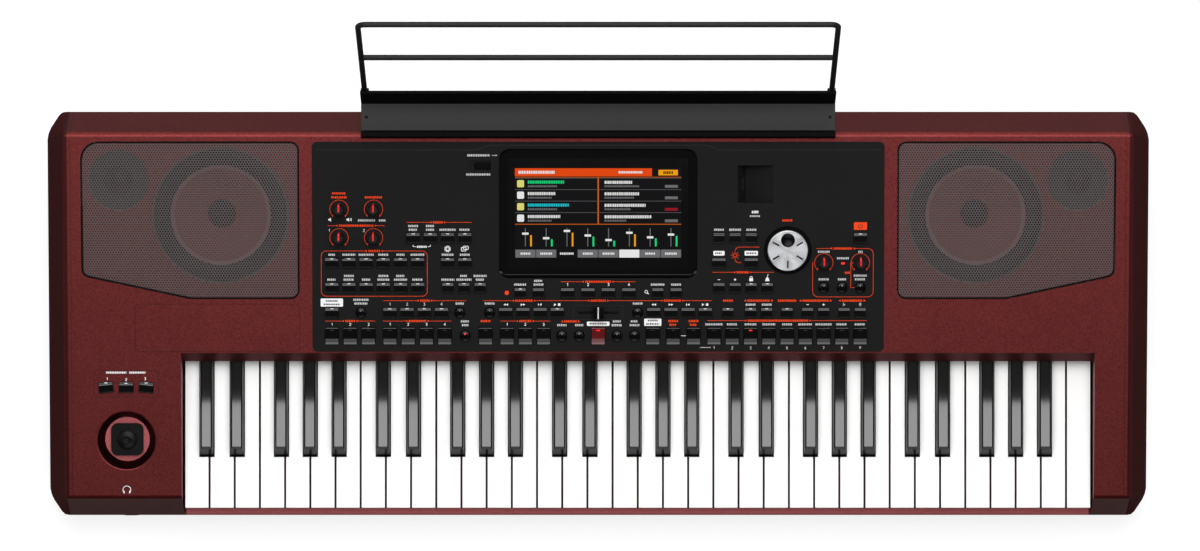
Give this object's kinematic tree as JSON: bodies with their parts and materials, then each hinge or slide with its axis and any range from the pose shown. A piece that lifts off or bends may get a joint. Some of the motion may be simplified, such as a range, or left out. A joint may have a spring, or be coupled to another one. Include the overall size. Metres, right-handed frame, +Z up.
{
  "type": "arranger keyboard",
  "caption": "Portable arranger keyboard with sprung keys, sloping button panel, tilting display, dial, knobs, joystick, two built-in loudspeakers and a lift-off music stand.",
  "frame": {"origin": "on the table under the middle of the whole outline, music stand included", "axes": "+X to the player's right along the keys, +Y away from the player, +Z up"},
  "size_m": [1.03, 0.4542, 0.315],
  "materials": {
    "case_paint": "metallic dark red paint with fine flake, clear coat",
    "cheek_paint": "very dark red paint, satin",
    "bottom_shell": "fine moulded texture",
    "panel_plastic": "fine matt texture with orange and white print",
    "grille_metal": "perforated, satin black paint",
    "speaker_metal": "satin black",
    "cone_paper": "pressed dark paper",
    "bare_steel": "zinc plated",
    "board": "green solder mask",
    "socket_plastic": "moulded, smooth",
    "foot_rubber": "matt",
    "stick_plastic": "soft touch",
    "display_plastic": "piano black",
    "display_glass": "dark touch glass, lit from behind",
    "button_plastic": "fine satin",
    "start_plastic": "translucent dark red",
    "knob_plastic": "soft touch, ribbed",
    "dial_metal": "spun face",
    "key_white": "polished",
    "key_black": "polished",
    "stand_plastic": "fine moulded texture",
    "stand_wire": "black powder coat"
  },
  "bodies": {
    "case": {"bottom_case": "bottom_shell", "top_case": "case_paint", "left_end_cheek": "cheek_paint", "right_end_cheek": "cheek_paint", "control_panel": "panel_plastic", "left_speaker_grille": "grille_metal", "right_speaker_grille": "grille_metal", "woofer_baskets": "speaker_metal", "woofer_cones": "cone_paper", "tweeters": "speaker_metal", "keybed_frame": "bare_steel", "key_pivot_rod": "bare_steel", "key_contact_board": "board", "main_board": "board", "panel_board": "board", "jack_sockets": "socket_plastic", "rubber_feet": "foot_rubber", "case_screws": "bare_steel", "joystick_boot": "foot_rubber"},
    "display": {"display_housing": "display_plastic", "display_screen": "display_glass", "display_hinge_pins": "bare_steel"},
    "music_stand": {"music_stand_tray": "stand_plastic", "music_stand_frame": "stand_wire"},
    "a_keys": {"a_keys": "key_white"},
    "a_sharp_keys": {"a_sharp_keys": "key_black"},
    "arranger_buttons": {"arranger_buttons": "button_plastic"},
    "assignable_knob_1": {"assignable_knob_1": "knob_plastic"},
    "assignable_knob_2": {"assignable_knob_2": "knob_plastic"},
    "assignable_switches": {"assignable_switches": "button_plastic"},
    "b_keys": {"b_keys": "key_white"},
    "balance_knob": {"balance_knob": "knob_plastic"},
    "c_keys": {"c_keys": "key_white"},
    "c_sharp_keys": {"c_sharp_keys": "key_black"},
    "crossfader_cap": {"crossfader_cap": "knob_plastic"},
    "d_keys": {"d_keys": "key_white"},
    "d_sharp_keys": {"d_sharp_keys": "key_black"},
    "display_lock_slider": {"display_lock_slider": "knob_plastic"},
    "e_keys": {"e_keys": "key_white"},
    "f_keys": {"f_keys": "key_white"},
    "f_sharp_keys": {"f_sharp_keys": "key_black"},
    "g_keys": {"g_keys": "key_white"},
    "g_sharp_keys": {"g_sharp_keys": "key_black"},
    "joystick_gimbal": {"joystick_gimbal": "stick_plastic"},
    "joystick_stick": {"joystick_stick": "stick_plastic"},
    "keyboard_set_buttons": {"keyboard_set_buttons": "button_plastic"},
    "master_volume_knob": {"master_volume_knob": "knob_plastic"},
    "menu_tempo_buttons": {"menu_tempo_buttons": "button_plastic"},
    "mic_effect_knob": {"mic_effect_knob": "knob_plastic"},
    "mic_volume_knob": {"mic_volume_knob": "knob_plastic"},
    "mode_buttons": {"mode_buttons": "button_plastic"},
    "octave_transpose_buttons": {"octave_transpose_buttons": "button_plastic"},
    "pad_buttons": {"pad_buttons": "button_plastic"},
    "player_buttons": {"player_buttons": "button_plastic"},
    "power_button": {"power_button": "button_plastic"},
    "round_buttons": {"round_buttons": "button_plastic"},
    "sound_select_buttons": {"sound_select_buttons": "button_plastic"},
    "start_stop_button": {"start_stop_button": "start_plastic"},
    "style_buttons": {"style_buttons": "button_plastic"},
    "value_dial": {"value_dial": "dial_metal"}
  },
  "joints": [
    {"name": "display_tilt", "type": "hinge", "parent": "case", "child": "display", "pos_m": [0, 0.00176, 0.11352], "axis": [1, 0, 0], "range_deg": [0, 40]},
    {"name": "music_stand_lift", "type": "slide", "parent": "case", "child": "music_stand", "axis": [0, 0, 1], "range_m": [0, 0.05]},
    {"name": "display_lock_slide", "type": "slide", "parent": "case", "child": "display_lock_slider", "axis": [1, 0, 0], "range_m": [-0.005, 0]},
    {"name": "crossfade", "type": "slide", "parent": "case", "child": "crossfader_cap", "axis": [1, 0, 0], "range_m": [-0.013, 0.013]},
    {"name": "value_dial_turn", "type": "hinge", "parent": "case", "child": "value_dial", "pos_m": [0.1762, 0.02248, 0.11695], "axis": [0, -0.0924, 0.9957], "continuous": true},
    {"name": "master_volume_turn", "type": "hinge", "parent": "case", "child": "master_volume_knob", "pos_m": [-0.2408, 0.06057, 0.12048], "axis": [0, -0.0924, 0.9957], "range_deg": [-150, 150]},
    {"name": "balance_turn", "type": "hinge", "parent": "case", "child": "balance_knob", "pos_m": [-0.2088, 0.06057, 0.12048], "axis": [0, -0.0924, 0.9957], "range_deg": [-150, 150]},
    {"name": "assignable_1_turn", "type": "hinge", "parent": "case", "child": "assignable_knob_1", "pos_m": [-0.2408, 0.03408, 0.11803], "axis": [0, -0.0924, 0.9957], "range_deg": [-150, 150]},
    {"name": "assignable_2_turn", "type": "hinge", "parent": "case", "child": "assignable_knob_2", "pos_m": [-0.2088, 0.03408, 0.11803], "axis": [0, -0.0924, 0.9957], "range_deg": [-150, 150]},
    {"name": "mic_volume_turn", "type": "hinge", "parent": "case", "child": "mic_volume_knob", "pos_m": [0.2098, 0.01088, 0.11588], "axis": [0, -0.0924, 0.9957], "range_deg": [-150, 150]},
    {"name": "mic_effect_turn", "type": "hinge", "parent": "case", "child": "mic_effect_knob", "pos_m": [0.2438, 0.01088, 0.11588], "axis": [0, -0.0924, 0.9957], "range_deg": [-150, 150]},
    {"name": "joystick_sideways", "type": "hinge", "parent": "case", "child": "joystick_gimbal", "pos_m": [-0.43981, -0.15302, 0.07958], "axis": [0, 0.9957, 0.0924], "range_deg": [-15, 15], "stiffness_Nm_per_rad": 0.3},
    {"name": "joystick_fore_aft", "type": "hinge", "parent": "joystick_gimbal", "child": "joystick_stick", "pos_m": [-0.43981, -0.15302, 0.07958], "axis": [1, 0, 0], "range_deg": [-15, 15], "stiffness_Nm_per_rad": 0.3},
    {"name": "arranger_buttons_press", "type": "slide", "parent": "case", "child": "arranger_buttons", "axis": [0, 0.0924, -0.9957], "range_m": [0, 0.001], "stiffness_N_per_m": 100, "springref_m": -0.004},
    {"name": "assignable_switches_press", "type": "slide", "parent": "case", "child": "assignable_switches", "axis": [0, 0.0924, -0.9957], "range_m": [0, 0.001], "stiffness_N_per_m": 100, "springref_m": -0.004},
    {"name": "keyboard_set_buttons_press", "type": "slide", "parent": "case", "child": "keyboard_set_buttons", "axis": [0, 0.0924, -0.9957], "range_m": [0, 0.001], "stiffness_N_per_m": 100, "springref_m": -0.004},
    {"name": "menu_tempo_buttons_press", "type": "slide", "parent": "case", "child": "menu_tempo_buttons", "axis": [0, 0.0924, -0.9957], "range_m": [0, 0.001], "stiffness_N_per_m": 100, "springref_m": -0.004},
    {"name": "mode_buttons_press", "type": "slide", "parent": "case", "child": "mode_buttons", "axis": [0, 0.0924, -0.9957], "range_m": [0, 0.001], "stiffness_N_per_m": 100, "springref_m": -0.004},
    {"name": "octave_transpose_buttons_press", "type": "slide", "parent": "case", "child": "octave_transpose_buttons", "axis": [0, 0.0924, -0.9957], "range_m": [0, 0.001], "stiffness_N_per_m": 100, "springref_m": -0.004},
    {"name": "pad_buttons_press", "type": "slide", "parent": "case", "child": "pad_buttons", "axis": [0, 0.0924, -0.9957], "range_m": [0, 0.001], "stiffness_N_per_m": 100, "springref_m": -0.004},
    {"name": "player_buttons_press", "type": "slide", "parent": "case", "child": "player_buttons", "axis": [0, 0.0924, -0.9957], "range_m": [0, 0.001], "stiffness_N_per_m": 100, "springref_m": -0.004},
    {"name": "power_button_press", "type": "slide", "parent": "case", "child": "power_button", "axis": [0, 0.0924, -0.9957], "range_m": [0, 0.001], "stiffness_N_per_m": 100, "springref_m": -0.004},
    {"name": "round_buttons_press", "type": "slide", "parent": "case", "child": "round_buttons", "axis": [0, 0.0924, -0.9957], "range_m": [0, 0.001], "stiffness_N_per_m": 100, "springref_m": -0.004},
    {"name": "sound_select_buttons_press", "type": "slide", "parent": "case", "child": "sound_select_buttons", "axis": [0, 0.0924, -0.9957], "range_m": [0, 0.001], "stiffness_N_per_m": 100, "springref_m": -0.004},
    {"name": "start_stop_button_press", "type": "slide", "parent": "case", "child": "start_stop_button", "axis": [0, 0.0924, -0.9957], "range_m": [0, 0.001], "stiffness_N_per_m": 100, "springref_m": -0.004},
    {"name": "style_buttons_press", "type": "slide", "parent": "case", "child": "style_buttons", "axis": [0, 0.0924, -0.9957], "range_m": [0, 0.001], "stiffness_N_per_m": 100, "springref_m": -0.004},
    {"name": "a_keys_press", "type": "hinge", "parent": "case", "child": "a_keys", "pos_m": [0, -0.02306, 0.067], "axis": [1, 0, 0], "range_deg": [0, 2.93], "stiffness_Nm_per_rad": 2, "springref_deg": -22.92},
    {"name": "a_sharp_keys_press", "type": "hinge", "parent": "case", "child": "a_sharp_keys", "pos_m": [0, -0.02306, 0.067], "axis": [1, 0, 0], "range_deg": [0, 2.93], "stiffness_Nm_per_rad": 2, "springref_deg": -22.92},
    {"name": "b_keys_press", "type": "hinge", "parent": "case", "child": "b_keys", "pos_m": [0, -0.02306, 0.067], "axis": [1, 0, 0], "range_deg": [0, 2.93], "stiffness_Nm_per_rad": 2, "springref_deg": -22.92},
    {"name": "c_keys_press", "type": "hinge", "parent": "case", "child": "c_keys", "pos_m": [0, -0.02306, 0.067], "axis": [1, 0, 0], "range_deg": [0, 2.93], "stiffness_Nm_per_rad": 2, "springref_deg": -22.92},
    {"name": "c_sharp_keys_press", "type": "hinge", "parent": "case", "child": "c_sharp_keys", "pos_m": [0, -0.02306, 0.067], "axis": [1, 0, 0], "range_deg": [0, 2.93], "stiffness_Nm_per_rad": 2, "springref_deg": -22.92},
    {"name": "d_keys_press", "type": "hinge", "parent": "case", "child": "d_keys", "pos_m": [0, -0.02306, 0.067], "axis": [1, 0, 0], "range_deg": [0, 2.93], "stiffness_Nm_per_rad": 2, "springref_deg": -22.92},
    {"name": "d_sharp_keys_press", "type": "hinge", "parent": "case", "child": "d_sharp_keys", "pos_m": [0, -0.02306, 0.067], "axis": [1, 0, 0], "range_deg": [0, 2.93], "stiffness_Nm_per_rad": 2, "springref_deg": -22.92},
    {"name": "e_keys_press", "type": "hinge", "parent": "case", "child": "e_keys", "pos_m": [0, -0.02306, 0.067], "axis": [1, 0, 0], "range_deg": [0, 2.93], "stiffness_Nm_per_rad": 2, "springref_deg": -22.92},
    {"name": "f_keys_press", "type": "hinge", "parent": "case", "child": "f_keys", "pos_m": [0, -0.02306, 0.067], "axis": [1, 0, 0], "range_deg": [0, 2.93], "stiffness_Nm_per_rad": 2, "springref_deg": -22.92},
    {"name": "f_sharp_keys_press", "type": "hinge", "parent": "case", "child": "f_sharp_keys", "pos_m": [0, -0.02306, 0.067], "axis": [1, 0, 0], "range_deg": [0, 2.93], "stiffness_Nm_per_rad": 2, "springref_deg": -22.92},
    {"name": "g_keys_press", "type": "hinge", "parent": "case", "child": "g_keys", "pos_m": [0, -0.02306, 0.067], "axis": [1, 0, 0], "range_deg": [0, 2.93], "stiffness_Nm_per_rad": 2, "springref_deg": -22.92},
    {"name": "g_sharp_keys_press", "type": "hinge", "parent": "case", "child": "g_sharp_keys", "pos_m": [0, -0.02306, 0.067], "axis": [1, 0, 0], "range_deg": [0, 2.93], "stiffness_Nm_per_rad": 2, "springref_deg": -22.92}
  ]
}
